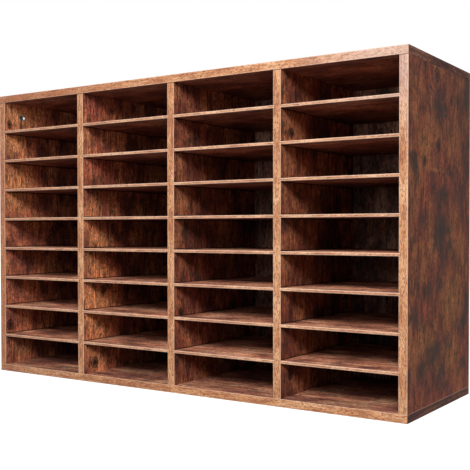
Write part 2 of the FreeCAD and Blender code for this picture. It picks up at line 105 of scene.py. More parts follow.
def linear(hex_code: str) -> Colour:
    """Turns an sRGB hex colour to the linear colour that Blender's sockets take.

    Args:
        hex_code: six hexadecimal digits, such as "8a5a3c".

    Returns:
        Red, green, blue and an alpha of 1.
    """
    channels = [int(hex_code[start:start + 2], 16) / 255 for start in (0, 2, 4)]
    red, green, blue = (c / 12.92 if c <= 0.04045 else ((c + 0.055) / 1.055) ** 2.4 for c in channels)
    return red, green, blue, 1.0


def add_node(tree: Tree, kind: str, inputs: dict | None = None,
             stops: tuple[tuple[float, Colour], ...] = (), **settings: Any) -> bpy.types.NodeOutputs:
    """Adds a node with its settings and its links.

    Args:
        tree: the node tree that gets the node.
        kind: Blender's name of the node type, without the ShaderNode in front.
        inputs: for each input, by name or number, its value or the output that feeds it.
        stops: places and colours of a colour ramp.
        **settings: the node's own properties.

    Returns:
        The new node's outputs, by name or number.
    """
    node = tree.nodes.new(f"ShaderNode{kind}")
    for name, value in settings.items():
        setattr(node, name, value)
    for socket, value in (inputs or {}).items():
        if isinstance(value, Socket):
            tree.links.new(value, node.inputs[socket])
        else:
            node.inputs[socket].default_value = value
    if stops:
        elements = node.color_ramp.elements
        while len(elements) < len(stops):
            elements.new(1.0)
        for element, (place, colour) in zip(elements, stops):
            element.position = place
            element.color = colour
    return node.outputs


def new_material(name: str) -> tuple[Material, Tree, bpy.types.Node]:
    """Makes an empty node material with its surface shader.

    Args:
        name: the finish's name.

    Returns:
        The material, its node tree and its Principled shader.
    """
    material = bpy.data.materials.new(name)
    material.use_nodes = True
    tree = material.node_tree
    tree.nodes.clear()
    shader = tree.nodes.new("ShaderNodeBsdfPrincipled")
    add_node(tree, "OutputMaterial", {"Surface": shader.outputs["BSDF"]})
    return material, tree, shader


@dataclass(frozen=True)
class Lay:
    """How boards of one kind lie: the grain, the direction through them, and where they repeat."""

    grain: Axis
    end_grain: Axis
    through: Axis
    middle: float
    pitch: float
    half_thickness: float
    alone: ClassVar[float] = 4000.0

    @classmethod
    def of_boards(cls, grain: Axis, end_grain: Axis, through: Axis, first: str, second: str = "") -> "Lay":
        """Measures how a row of equal boards lies.

        Args:
            grain: which way the grain of their faces runs.
            end_grain: which way it runs on their end faces.
            through: the direction through the boards.
            first: the first board of the row.
            second: the board next to it, where there is one.

        Returns:
            The lay.
        """
        low, high = (Vector(through.value).dot(corner) for corner in span(first))
        middle = (low + high) / 2
        pitch = cls.alone
        if second:
            pitch = sum(Vector(through.value).dot(corner) for corner in span(second)) / 2 - middle
        return cls(grain, end_grain, through, middle, pitch, (high - low) / 2)

    def off_middle(self, tree: Tree, through: Socket) -> Socket:
        """Gives how far a place is from the middle of the nearest board of the row.

        Args:
            tree: the material's node tree.
            through: the place along the direction through the boards, in mm.

        Returns:
            The distance, in mm.
        """
        from_first = add_node(tree, "Math", {0: through, 1: self.middle}, operation="SUBTRACT")["Value"]
        return add_node(tree, "Math", {0: from_first, 1: self.pitch / 2}, operation="PINGPONG")["Value"]


UPRIGHT = Lay.of_boards(Axis.HEIGHT, Axis.DEPTH, Axis.WIDTH, "left_side_panel", "divider_1")
DECK = Lay.of_boards(Axis.WIDTH, Axis.DEPTH, Axis.HEIGHT, "bottom_panel", "top_panel")
SHELF = Lay.of_boards(Axis.WIDTH, Axis.DEPTH, Axis.HEIGHT, "shelf_col1_row8", "shelf_col1_row7")
BACK = Lay.of_boards(Axis.HEIGHT, Axis.WIDTH, Axis.DEPTH, "back_board_1")
FRONT = span("top_panel_edge_band")[0].y
BAND_THICKNESS = span("top_panel_edge_band")[1].y - FRONT
HALF_WIDTH = span("top_panel")[1].x
HEIGHT = span("top_panel")[1].z
UPRIGHTS = ("left_side_panel", "divider_1", "divider_2", "divider_3", "right_side_panel")
LEFT_WALL, WALL_1, WALL_2, WALL_3, RIGHT_SIDE = (span(board)[1].x for board in UPRIGHTS)


@dataclass(frozen=True)
class Mark:
    """A placed mark of the print: its middle, and how far it reaches along X, Y and Z, all in mm."""

    middle: Triple
    reach: Triple


def marks_at(x: float, *spots: tuple[float, float, float, float]) -> tuple[Mark, ...]:
    """Places marks on an upright's face at X, each by its Y, its Z and its reach along both, in mm."""
    return tuple(Mark((x, y, z), (MARK_DEPTH, along_y, along_z)) for y, z, along_y, along_z in spots)


@dataclass(frozen=True)
class Surface:
    """A board's surface as its print sees it, in mm: across the grain, along it, and through the board."""

    tree: Tree
    place: Socket
    normal: Socket
    grain: Socket
    at_end: Socket
    off_middle: Socket

    @classmethod
    def of(cls, tree: Tree, lay: Lay, sway: float = 6.0) -> "Surface":
        """Works out the surface of boards that lie one way.

        Args:
            tree: the material's node tree.
            lay: how the boards lie.
            sway: how far the grain sways to and fro, in mm.

        Returns:
            The surface.
        """
        metres = add_node(tree, "TexCoord")["Object"]
        place = add_node(tree, "VectorMath", {0: metres, "Scale": 1 / MM}, operation="SCALE")["Vector"]
        normal = add_node(tree, "NewGeometry")["True Normal"]
        facing = add_node(tree, "VectorMath", {0: normal, 1: lay.grain.value},
                          operation="DOT_PRODUCT")["Value"]
        steep = add_node(tree, "Math", {0: facing}, operation="ABSOLUTE")["Value"]
        at_end = add_node(tree, "Math", {0: steep, 1: END_SLOPE}, operation="GREATER_THAN")["Value"]
        axis = add_node(tree, "Mix", {0: at_end, 4: lay.grain.value, 5: lay.end_grain.value},
                        data_type="VECTOR")[1]
        sideways = add_node(tree, "VectorMath", {0: normal, 1: axis}, operation="CROSS_PRODUCT")["Vector"]
        across, along, deep = (add_node(tree, "VectorMath", {0: place, 1: direction},
                                        operation="DOT_PRODUCT")["Value"]
                               for direction in (sideways, axis, normal))
        wander = add_node(tree, "TexNoise", {"Vector": place, "Scale": 1 / GRAIN_WANDER, "Detail": 2.0})
        swayed = add_node(tree, "Math", {0: wander["Fac"], 1: 2 * sway, 2: across},
                          operation="MULTIPLY_ADD")["Value"]
        grain = add_node(tree, "CombineXYZ", {"X": swayed, "Y": along, "Z": deep})["Vector"]
        through = add_node(tree, "VectorMath", {0: place, 1: lay.through.value},
                           operation="DOT_PRODUCT")["Value"]
        return cls(tree, place, normal, grain, at_end, lay.off_middle(tree, through))

    def marks(self, width: float, length: float, low: float = 0.0, high: float = 1.0, detail: float = 4.0,
              roughness: float = 0.55) -> Socket:
        """Marks of one size, scattered all over the print.

        Args:
            width: their size across the grain, in mm.
            length: their size along it, in mm.
            low: the noise at which a mark starts.
            high: the noise at which it is full.
            detail: how many finer layers the marks carry.
            roughness: how strong those layers are.

        Returns:
            How much of a mark there is, from 0 to 1.
        """
        scaled = add_node(self.tree, "Mapping", {
            "Vector": self.grain, "Scale": (1 / width, 1 / length, THROUGH_SCALE)})["Vector"]
        cloud = add_node(self.tree, "TexNoise", {
            "Vector": scaled, "Scale": 1.0, "Detail": detail, "Roughness": roughness})["Fac"]
        return add_node(self.tree, "MapRange", {"Value": cloud, "From Min": low, "From Max": high})["Result"]

    def nearest(self, placed: tuple[Mark, ...]) -> Socket:
        """How near the nearest placed mark is.

        Args:
            placed: the marks.

        Returns:
            0 in a mark's middle and 1 at its rim.
        """
        nearest = None
        for mark in placed:
            scale = tuple(1 / reach for reach in mark.reach)
            shift = tuple(-middle / reach for middle, reach in zip(mark.middle, mark.reach))
            local = add_node(self.tree, "Mapping", {
                "Vector": self.place, "Location": shift, "Scale": scale})["Vector"]
            distance = add_node(self.tree, "VectorMath", {0: local}, operation="LENGTH")["Value"]
            if nearest is not None:
                distance = add_node(self.tree, "Math", {0: nearest, 1: distance},
                                    operation="MINIMUM")["Value"]
            nearest = distance
        return nearest

    def lay_stain_and_painted_light(self, colour: Socket, placed: tuple[Mark, ...], tone: str, share: float, rim: float = 1.0,
                core: float = 0.5) -> Socket:
        """Lays a tone over a colour at placed marks, for stains and for painted light and painted shade alike.

        Args:
            colour: the colour so far.
            placed: the marks. Without any, the colour stays.
            tone: the tone, as a hex colour.
            share: how much of the colour it covers in the marks' middle.
            rim: how far out it starts, with the marks' rim at 1.
            core: how far in it is full.

        Returns:
            The new colour.
        """
        if not placed:
            return colour
        covered = add_node(self.tree, "MapRange", {
            "Value": self.nearest(placed), "From Min": rim, "From Max": core, "To Max": share})["Result"]
        return add_node(self.tree, "Mix", {0: covered, 6: colour, 7: linear(tone)}, data_type="RGBA")[2]


STREAK_TONES = ((0.34, (0.4, 0.34, 0.32, 1.0)), (0.5, WHITE), (0.66, (1.5, 1.38, 1.25, 1.0)))
RING_TONES = ((0.0, (0.6, 0.56, 0.56, 1.0)), (0.5, WHITE), (1.0, (1.25, 1.2, 1.14, 1.0)))
LINE_TONES = ((0.36, (0.36, 0.3, 0.28, 1.0)), (0.5, WHITE), (0.64, (1.55, 1.45, 1.35, 1.0)))
KNOT_SHARES = tuple((place, (share, share, share, 1.0)) for place, share in (
    (0.42, 0.95), (0.58, 0.75), (0.74, 0.6), (0.88, 0.95), (0.99, 0.0)))


@dataclass(frozen=True)
class FacePrint:
    """A rustic old-wood print: warm patches, wavy grain, smoky smudges, black slits and a few knots.

    Its placed blushes and glows are partly print tones and partly painted light, and its placed shades are
    partly print tones and partly painted shade. Its patches, clouds, streaks, slits and lines have a size
    across the grain and one along it, in mm.
    """

    dark: str = "6c4239"
    red: str = "a6624b"
    warm: str = "cc8860"
    smoke: str = "3a2a23"
    black: str = "1d1210"
    # The blush and the glow are partly painted light, and the shade is partly painted shade.
    blush: str = "c06a55"
    glow: str = "dc9a68"
    shade: str = "4a2a22"
    patch: Size = (50.0, 90.0)
    cloud: Size = (24.0, 34.0)
    streak: Size = (5.5, 42.0)
    slit: Size = (3.0, 13.0)
    line: Size = (2.2, 6.5)
    ring_spacing: float = 3.4
    ring_stretch: float = 0.09
    smudges: tuple[Mark, ...] = ()
    # Placed marks: blushes and glows are partly painted light, and shades are partly painted shade.
    blushes_and_painted_light: tuple[Mark, ...] = ()
    glows_and_painted_light: tuple[Mark, ...] = ()
    dark_tones_and_painted_shade: tuple[Mark, ...] = ()
    knots: tuple[Mark, ...] = ()

    def lay(self, surface: Surface) -> tuple[Socket, Socket]:
        """Lays the print on a surface.

        Args:
            surface: the surface.

        Returns:
            The print's colour, and its streaks, which the foil's emboss follows.
        """
        tree = surface.tree
        patches = surface.marks(*self.patch)
        colour = add_node(tree, "ValToRGB", {"Fac": patches}, stops=(
            (0.38, linear(self.dark)), (0.49, linear(self.red)), (0.61, linear(self.warm))))["Color"]
        # Blushes and glows brighten and shades darken: partly print tones, partly painted light and painted
        # shade.
        for placed, tint, share in ((self.blushes_and_painted_light, self.blush, 0.6), (self.glows_and_painted_light, self.glow, 0.8),
                                    (self.dark_tones_and_painted_shade, self.shade, 0.5)):
            colour = surface.lay_stain_and_painted_light(colour, placed, tint, share, rim=1.2, core=0.2)
        streaks = surface.marks(*self.streak, detail=6.0, roughness=0.65)
        wavy = add_node(tree, "Mapping", {
            "Vector": surface.grain, "Scale": (1.0, self.ring_stretch, THROUGH_SCALE)})["Vector"]
        rings = add_node(tree, "TexWave", {
            "Vector": wavy, "Scale": WAVE_PERIOD / self.ring_spacing, "Distortion": 9.0, "Detail": 4.0,
            "Detail Scale": 1.0, "Detail Roughness": 0.62})["Fac"]
        lines = surface.marks(*self.line, roughness=0.7)
        for source, tones in ((streaks, STREAK_TONES), (rings, RING_TONES), (lines, LINE_TONES)):
            drawn = add_node(tree, "ValToRGB", {"Fac": source}, stops=tones)["Color"]
            colour = add_node(tree, "Mix", {0: 1.0, 6: colour, 7: drawn}, data_type="RGBA",
                              blend_type="MULTIPLY")[2]
        cloud = surface.marks(*self.cloud, detail=6.0, roughness=0.66)
        smoky = add_node(tree, "MapRange", {
            "Value": cloud, "From Min": 0.52, "From Max": 0.66, "To Max": 0.8})["Result"]
        slits = surface.marks(*self.slit, low=0.64, high=0.70, detail=2.0)
        covers = [(smoky, self.smoke), (slits, self.black)]
        if self.smudges:
            ragged = add_node(tree, "Math", {0: cloud, 1: -4.0, 2: surface.nearest(self.smudges)},
                              operation="MULTIPLY_ADD")["Value"]
            frayed = add_node(tree, "Math", {0: streaks, 1: -1.2, 2: ragged},
                              operation="MULTIPLY_ADD")["Value"]
            burnt = add_node(tree, "MapRange", {
                "Value": frayed, "From Min": -1.4, "From Max": -2.3, "To Max": 0.85})["Result"]
            covers.append((burnt, self.smoke))
        if self.knots:
            near = add_node(tree, "Math", {0: lines, 1: 0.4, 2: surface.nearest(self.knots)},
                            operation="MULTIPLY_ADD")["Value"]
            covers.append((add_node(tree, "ValToRGB", {"Fac": near}, stops=KNOT_SHARES)["Color"], self.black))
        for share, tone in covers:
            colour = add_node(tree, "Mix", {0: share, 6: colour, 7: linear(tone)}, data_type="RGBA")[2]
        return colour, streaks


LYING_PRINT = FacePrint(dark="946050", red="ca886c", warm="e4ac8c", smoke="503a32", ring_spacing=7.0,
                        streak=(11.0, 110.0))
GROUND_PRINT = replace(LYING_PRINT, dark="80524a", red="ae735c", warm="c69678")
BACK_PRINT = FacePrint(dark="66504a", red="966e60", warm="b48e7c")
# Painted shade: faces that look down are multiplied darker and greyer.
UNDERSIDE_PAINTED_SHADE = "a89ea0"

# Painted shade: the bands are darker and redder towards the case's left end.
SHADED_LEFT_END = (Mark((-HALF_WIDTH, FRONT, HEIGHT / 2), (240.0, 60.0, 600.0)),
               Mark((-HALF_WIDTH, FRONT, HEIGHT), (560.0, 60.0, 60.0)))
# Painted highlight: the bands are paler, with fewer flecks, near the case's top right corner.
PAINTED_HIGHLIGHT_CORNER = (Mark((HALF_WIDTH, FRONT, HEIGHT), (230.0, 60.0, 170.0)),)


@dataclass(frozen=True)
class EdgePrint:
    """A lighter print, mottled with short brown flecks, whose arris has rubbed pale.

    It has painted shade, darker and redder, towards the left end of the case, and a painted highlight, paler
    and with fewer flecks, near its top right corner.
    """

    brown: str = "ac7250"
    tan: str = "cf9468"
    pale: str = "dca87e"
    fleck: str = "7c4429"
    left_shade_tone: str = "b4704e"
    rubbed: str = "f4d6be"
    painted_highlight: str = "c9aa9b"
    patch: Size = (22.0, 70.0)
    speck: Size = (1.5, 5.5)
    dash: Size = (4.0, 24.0)
    arris: float = 0.7
    wear: float = 0.3

    def lay(self, surface: Surface, half_thickness: float) -> Socket:
        """Lays the print on a surface.

        Args:
            surface: the surface.
            half_thickness: half the edge's width, in mm.

        Returns:
            The print's colour.
        """
        tree = surface.tree
        patches = surface.marks(*self.patch, roughness=0.65)
        colour = add_node(tree, "ValToRGB", {"Fac": patches}, stops=(
            (0.38, linear(self.brown)), (0.5, linear(self.tan)), (0.62, linear(self.pale))))["Color"]
        # Painted shade towards the case's left end.
        colour = surface.lay_stain_and_painted_light(colour, SHADED_LEFT_END, self.left_shade_tone, 0.7, core=0.2)
        # Painted highlight near the top right corner, which also thins the flecks.
        highlight_share = add_node(tree, "MapRange", {
            "Value": surface.nearest(PAINTED_HIGHLIGHT_CORNER), "From Min": 1.0, "From Max": 0.3,
            "To Max": 0.75})["Result"]
        colour = add_node(tree, "Mix", {0: highlight_share, 6: colour, 7: linear(self.painted_highlight)}, data_type="RGBA")[2]
        for size, thick in ((self.speck, 0.85), (self.dash, 0.5)):
            mottled = surface.marks(*size, low=0.5, high=0.62, detail=3.0)
            held = add_node(tree, "MapRange", {
                "Value": highlight_share, "To Min": thick, "To Max": thick / 2})["Result"]
            share = add_node(tree, "Math", {0: mottled, 1: held}, operation="MULTIPLY")["Value"]
            colour = add_node(tree, "Mix", {0: share, 6: colour, 7: linear(self.fleck)}, data_type="RGBA")[2]
        worn = add_node(tree, "MapRange", {
            "Value": surface.off_middle, "From Min": half_thickness - 2 * self.arris,
            "From Max": half_thickness - self.arris, "To Max": self.wear})["Result"]
        return add_node(tree, "Mix", {0: worn, 6: colour, 7: linear(self.rubbed)}, data_type="RGBA")[2]


SHELF_EDGE = EdgePrint(brown="b27656", tan="d49a72", pale="e2b088", left_shade_tone="bc7a58", arris=0.9, wear=0.5)


@dataclass(frozen=True)
class ChipCore:
    """Sawn chipboard: pale and brown wood chips of 1 to 4 mm, pressed flat."""

    pale: str = "e3c3a2"
    brown: str = "bd8f6a"
    dark: str = "875f42"
    chip: float = 2.2

    def lay(self, surface: Surface) -> Socket:
        """Lays the chips on a surface and gives their colour."""
        chips = add_node(surface.tree, "TexVoronoi", {
            "Vector": surface.place, "Scale": 1 / self.chip})["Color"]
        return add_node(surface.tree, "ValToRGB", {"Fac": chips}, stops=(
            (0.25, linear(self.dark)), (0.5, linear(self.brown)), (0.8, linear(self.pale))))["Color"]


@dataclass(frozen=True)
class BoardFinish:
    """Chipboard with printed melamine foil on its faces, its edges banded or left as sawn.

    The eye gets a matt brown old-wood face with a faint sheen and a shallow grain, a dark line along a shelf's
    housing that is painted shade of the gap and partly chipped foil, painted shade on faces at the case's
    outer sides and on faces that look down, and bare chips where the board is sawn and not banded.
    """

    name: str
    lay: Lay
    face: FacePrint = FacePrint()
    edge: EdgePrint = EdgePrint()
    core: ChipCore = ChipCore()
    foil: float = 0.5
    front_edge: float = 0.0
    sawn: bool = True
    banded_ends: bool = False
    # Painted shade: faces at the case's outer sides are multiplied darker.
    outer_painted_shade: str = "c4beb6"
    # Painted shade on faces that look down.
    underside_painted_shade: str = "ffffff"
    # Width of a dark line along each shelf's housing: painted shade of the gap, and partly chipped foil.
    housing_shade_and_chip_line: float = 0.0
    rubs: tuple[Mark, ...] = ()
    rubbed: str = "c99f8a"
    gloss: float = 0.16
    emboss: float = 0.2

    def build(self) -> Material:
        """Builds the material."""
        material, tree, shader = new_material(self.name)
        surface = Surface.of(tree, self.lay)
        colour, streaks = self.face.lay(surface)
        spot = add_node(tree, "SeparateXYZ", {"Vector": surface.place})
        off_centre = add_node(tree, "Math", {0: spot["X"]}, operation="ABSOLUTE")["Value"]
        outer = add_node(tree, "Math", {0: off_centre, 1: HALF_WIDTH - self.foil},
                         operation="GREATER_THAN")["Value"]
        rise = add_node(tree, "SeparateXYZ", {"Vector": surface.normal})["Z"]
        under = add_node(tree, "Math", {0: rise, 1: -0.5}, operation="LESS_THAN")["Value"]
        # Painted shade on faces at the case's outer sides and on faces that look down.
        for mask, tone in ((outer, self.outer_painted_shade), (under, self.underside_painted_shade)):
            colour = add_node(tree, "Mix", {0: mask, 6: colour, 7: linear(tone)},
                              data_type="RGBA", blend_type="MULTIPLY")[2]
        # A dark line on the inner faces along each shelf's housing: painted shade of the gap, and partly
        # chipped foil.
        if self.housing_shade_and_chip_line:
            edge = SHELF.half_thickness + self.housing_shade_and_chip_line
            line = add_node(tree, "MapRange", {
                "Value": SHELF.off_middle(tree, spot["Z"]), "From Min": edge,
                "From Max": edge - self.housing_shade_and_chip_line / 2, "To Max": 0.9})["Result"]
            shelved = add_node(tree, "Math", {
                0: spot["Z"], 1: HEIGHT / 2, 2: 4 * SHELF.pitch - self.housing_shade_and_chip_line},
                operation="COMPARE")["Value"]
            inside = add_node(tree, "Math", {0: shelved, 1: outer}, operation="SUBTRACT",
                              use_clamp=True)["Value"]
            housing_shade_and_chips = add_node(tree, "Math", {0: line, 1: inside}, operation="MULTIPLY")["Value"]
            colour = add_node(tree, "Mix", {0: housing_shade_and_chips, 6: colour, 7: linear(self.face.black)},
                              data_type="RGBA")[2]
        colour = surface.lay_stain_and_painted_light(colour, self.rubs, self.rubbed, 0.75)
        if self.sawn:
            inner = add_node(tree, "Math", {
                0: surface.off_middle, 1: self.lay.half_thickness - self.foil},
                operation="LESS_THAN")["Value"]
            if self.banded_ends:
                inner = add_node(tree, "Math", {0: inner, 1: surface.at_end}, operation="SUBTRACT",
                                 use_clamp=True)["Value"]
            colour = add_node(tree, "Mix", {0: inner, 6: colour, 7: self.core.lay(surface)},
                              data_type="RGBA")[2]
        if self.front_edge:
            front = add_node(tree, "Math", {0: spot["Y"], 1: FRONT + self.front_edge},
                             operation="LESS_THAN")["Value"]
            band = self.edge.lay(surface, self.lay.half_thickness)
            colour = add_node(tree, "Mix", {0: front, 6: colour, 7: band}, data_type="RGBA")[2]
        tree.links.new(colour, shader.inputs["Base Color"])
        sheen = add_node(tree, "MapRange", {"Value": streaks, "To Min": 0.8, "To Max": 0.6})["Result"]
        tree.links.new(sheen, shader.inputs["Roughness"])
        shader.inputs["Specular IOR Level"].default_value = self.gloss
        relief = add_node(tree, "Bump", {"Height": streaks, "Strength": 0.25, "Distance": self.emboss * MM})
        tree.links.new(relief["Normal"], shader.inputs["Normal"])
        return material


@dataclass(frozen=True)
class BandFinish:
    """ABS edge banding, 1 mm thick, with the lighter print: a smoother sheen than the faces and pale arrises.

    Where a band butts against the next one, the joint shows a dark line of painted shade.
    """

    name: str
    lay: Lay
    edge: EdgePrint = EdgePrint()
    # Painted shade: a dark line where a band butts against the next one.
    joints: tuple[Mark, ...] = ()
    joint_shade: str = "3a1c12"
    scuff: Size = (6.0, 30.0)
    sway: float = 2.0
    gloss: float = 0.3

    def build(self) -> Material:
        """Builds the material."""
        material, tree, shader = new_material(self.name)
        surface = Surface.of(tree, self.lay, self.sway)
        colour = self.edge.lay(surface, self.lay.half_thickness)
        # Painted shade along the joints.
        colour = surface.lay_stain_and_painted_light(colour, self.joints, self.joint_shade, 0.85, core=0.7)
        tree.links.new(colour, shader.inputs["Base Color"])
        wear = surface.marks(*self.scuff)
        sheen = add_node(tree, "MapRange", {"Value": wear, "To Min": 0.4, "To Max": 0.6})["Result"]
        tree.links.new(sheen, shader.inputs["Roughness"])
        shader.inputs["Specular IOR Level"].default_value = self.gloss
        return material


@dataclass(frozen=True)
class PlatedMetal:
    """Plated metal, faintly clouded, with fine marks round it where it was turned. Sizes are in mm."""

    name: str
    bright: str
    dull: str
    cloud: float
    detail: float
    calm: float
    roughness: Size
    turning: float = 0.0
    turning_length: float = 20.0
    relief: float = 0.03

    def build(self) -> Material:
        """Builds the material."""
        material, tree, shader = new_material(self.name)
        place = add_node(tree, "TexCoord")["Object"]
        clouds = add_node(tree, "TexNoise", {
            "Vector": place, "Scale": 1 / (self.cloud * MM), "Detail": self.detail})["Fac"]
        tone = add_node(tree, "ValToRGB", {"Fac": clouds}, stops=(
            (self.calm, linear(self.dull)), (1 - self.calm, linear(self.bright))))["Color"]
        tree.links.new(tone, shader.inputs["Base Color"])
        shader.inputs["Metallic"].default_value = 1.0
        marks = clouds
        if self.turning:
            sizes = (self.turning_length, self.turning_length, self.turning)
            scale = tuple(1 / (size * MM) for size in sizes)
            squeezed = add_node(tree, "Mapping", {"Vector": place, "Scale": scale})["Vector"]
            marks = add_node(tree, "TexNoise", {"Vector": squeezed, "Scale": 1.0, "Detail": 2.0})["Fac"]
            bump = add_node(tree, "Bump", {"Height": marks, "Strength": 0.3, "Distance": self.relief * MM})
            tree.links.new(bump["Normal"], shader.inputs["Normal"])
        low, high = self.roughness
        rough = add_node(tree, "MapRange", {"Value": marks, "To Min": low, "To Max": high})["Result"]
        tree.links.new(rough, shader.inputs["Roughness"])
        return material


# Zinc die casting, tumbled and bright plated: a cool metal with a soft, slightly uneven sheen.
CAST_ZINC = PlatedMetal("cast_zinc", bright="c9cbcd", dull="8d9093", cloud=0.6, detail=3.0, calm=0.3,
                        roughness=(0.38, 0.55))
# Yellow zinc plating on steel: a warm metal, glossier than the casting, with turning marks round it.
YELLOW_STEEL = PlatedMetal("yellow_zinc_plated_steel", bright="d2c3a0", dull="a3966f", cloud=2.5, detail=4.0,
                           calm=0.35, roughness=(0.25, 0.5), turning=0.35)


def dress(names: list[str], material: Material) -> None:
    """Gives nodes of the frame a material.

    Args:
        names: the nodes' names.
        material: what they get.
    """
    for name in names:
        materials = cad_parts[name].data.materials
        materials.clear()
        materials.append(material)
        log.info("dressed %s in %s", name, material.name)


def select(piece: Piece, kind: str, wanted: Callable[[Vector, Vector], bool]) -> None:
    """Selects faces or edges of the piece in edit mode.

    Args:
        piece: the piece.
        kind: FACE or EDGE.
        wanted: says from a face's middle and normal, or from an edge's two ends, whether it is wanted.
    """
    bpy.ops.mesh.select_mode(type=kind)
    mesh = bmesh.from_edit_mesh(piece.data)
    if kind == "FACE":
        for face in mesh.faces:
            face.select_set(wanted(face.calc_center_median(), face.normal))
    else:
        for edge in mesh.edges:
            edge.select_set(wanted(edge.verts[0].co, edge.verts[1].co))
    bmesh.update_edit_mesh(piece.data)


def extrude(shift: Vector) -> None:
    """Extrudes the selected faces by a shift in mm."""
    bpy.ops.mesh.extrude_region_move(TRANSFORM_OT_translate={"value": shift * MM})


def finish_piece(piece: Piece, name: str, material: Material, slot: str, *replaced: str) -> None:
    """Names, dresses and seats a new piece on the case.

    Args:
        piece: the piece, with its place in its mesh.
        name: the name that it gets.
        material: its finish.
        slot: the record's material slot; not used.
        *replaced: the nodes that it stands for.
    """
    piece.name = name
    piece.data.name = name
    piece.data.materials.clear()
    piece.data.materials.append(material)
    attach(piece, CASE)
    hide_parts(*replaced)
    log.info("made %s with %d faces", name, len(piece.data.polygons))


@dataclass
class CaseBoards:
    """The side panels, dividers, decks and back boards of the case."""

    smudges: tuple[Mark, ...] = (
        marks_at(RIGHT_SIDE, (-18, 538, 42, 22), (5, 388, 30, 16), (-6, 320, 52, 30), (46, 290, 20, 18),
                 (-126, 424, 20, 26), (-35, 100, 66, 34), (0, 62, 22, 36), (-122, 176, 18, 20),
                 (130, 590, 22, 70), (118, 69, 18, 18), (-5, 218, 20, 15))
        + marks_at(WALL_1, (-63, 322, 8, 15), (-94, 195, 12, 12))
        + marks_at(WALL_2, (-123, 315, 12, 16), (-130, 222, 10, 18))
        + marks_at(WALL_3, (-65, 335, 10, 16)))
    knots: tuple[Mark, ...] = (
        marks_at(LEFT_WALL, (-139, 104, 14, 18), (-138, 562, 9, 14))
        + marks_at(WALL_1, (-119, 35, 15, 17))
        + marks_at(WALL_2, (-131, 157, 10, 14))
        + marks_at(WALL_3, (-115, 499, 13, 14), (-118, 55, 14, 15))
        + marks_at(RIGHT_SIDE, (-22, 595, 16, 19), (82, 561, 11, 22), (-15, 471, 11, 18), (-79, 216, 12, 22),
                   (119, 146, 10, 22), (49, 558, 9, 14), (20, 543, 9, 13), (-79, 440, 9, 12)))
    # Blushes on the compartments' walls and along the bottom of the right side are painted light; the rest are
    # print tones.
    blushes_and_painted_light: tuple[Mark, ...] = (
        marks_at(RIGHT_SIDE, (-75, 392, 34, 44), (-66, 474, 36, 50), (-84, 176, 26, 34), (100, 90, 40, 40),
                 (15, 415, 60, 40), (0, 20, 170, 45))
        + marks_at(WALL_2, (-120, 180, 40, 90))
        + marks_at(WALL_1, (-120, 450, 60, 60), (-125, 580, 44, 34)))
    # Glows on the compartments' walls are painted light; those on the right side are print tones.
    glows_and_painted_light: tuple[Mark, ...] = (
        marks_at(LEFT_WALL, (-110, 592, 70, 44), (-125, 520, 34, 40), (-115, 415, 55, 66))
        + marks_at(WALL_1, (-120, 250, 44, 36), (-110, 150, 50, 90), (-100, 300, 40, 30))
        + marks_at(RIGHT_SIDE, (-75, 468, 34, 40), (-85, 132, 32, 36), (68, 98, 32, 34), (60, 190, 60, 55),
                   (-33, 427, 74, 4)))
    # Shades on the compartments' walls are painted shade, over the whole of walls 2 and 3; those on the right
    # side are print tones.
    dark_tones_and_painted_shade: tuple[Mark, ...] = (
        marks_at(WALL_2, (-100, 312, 170, 700))
        + marks_at(WALL_3, (-100, 312, 170, 700))
        + marks_at(LEFT_WALL, (-120, 45, 50, 40))
        + marks_at(WALL_1, (-110, 400, 60, 50))
        + marks_at(RIGHT_SIDE, (20, 330, 60, 60), (128, 535, 75, 120)))
    seam_line: float = 1.8
    # The dark line along each housing is painted shade of the gap, and partly chipped foil.
    housing_shade_and_chip_line: float = 2.8

    def dress(self) -> None:
        """Covers every board with the rustic foil, its grain along the board."""
        face = FacePrint(smudges=self.smudges, blushes_and_painted_light=self.blushes_and_painted_light, glows_and_painted_light=self.glows_and_painted_light, dark_tones_and_painted_shade=self.dark_tones_and_painted_shade,
                         knots=self.knots)
        dress(list(UPRIGHTS),
              BoardFinish("foiled_chipboard_uprights", UPRIGHT, face, housing_shade_and_chip_line=self.housing_shade_and_chip_line).build())
        _, corner = span("bottom_panel")
        seams = tuple(mark for x in (-corner.x, corner.x)
                      for mark in marks_at(x, (0, corner.z, 2 * corner.y, self.seam_line)))
        # Each deck's tone darkens its ends at the case's sides as painted shade.
        for name, foil, tone, rubs in (("top_panel", LYING_PRINT, "8e8486", ()),
                                       ("bottom_panel", GROUND_PRINT, "928888", seams)):
            dress([name], BoardFinish(f"foiled_chipboard_{name}", DECK, foil, banded_ends=True,
                                      outer_painted_shade=tone, underside_painted_shade=UNDERSIDE_PAINTED_SHADE, rubs=rubs).build())
        dress(nodes_named("back_board"),
              BoardFinish("foiled_hardboard_backs", BACK, BACK_PRINT, sawn=False).build())


